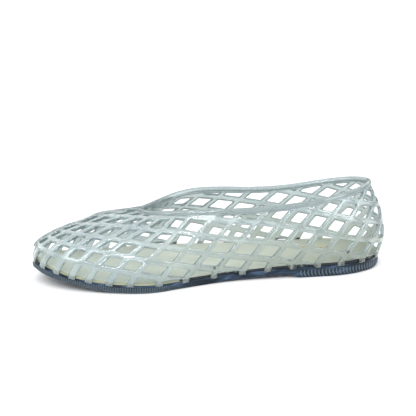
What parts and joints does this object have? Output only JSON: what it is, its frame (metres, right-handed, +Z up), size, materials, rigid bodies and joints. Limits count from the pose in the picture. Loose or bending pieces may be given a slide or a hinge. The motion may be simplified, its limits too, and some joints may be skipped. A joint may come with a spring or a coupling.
{
  "type": "lattice jelly flat shoe",
  "caption": "Flat slip-on shoe with a clear moulded net upper, closed toe and heel, a round bead along the low collar, a cream insole and a dark glossy sole with a low heel.",
  "frame": {"origin": "centre of the bounding box in X and Y, on the floor plane under the sole", "axes": "-X towards the toe, +X towards the heel, -Y towards the shoe's inner side, +Z up"},
  "size_m": [0.247, 0.0892, 0.0605],
  "materials": {
    "upper": "clear milky moulded plastic, glossy",
    "outsole": "dark slate-blue moulded plastic, glossy",
    "insole": "cream foamed plastic, satin"
  },
  "bodies": {
    "root": {"upper": "upper", "outsole": "outsole", "insole": "insole"}
  },
  "joints": []
}
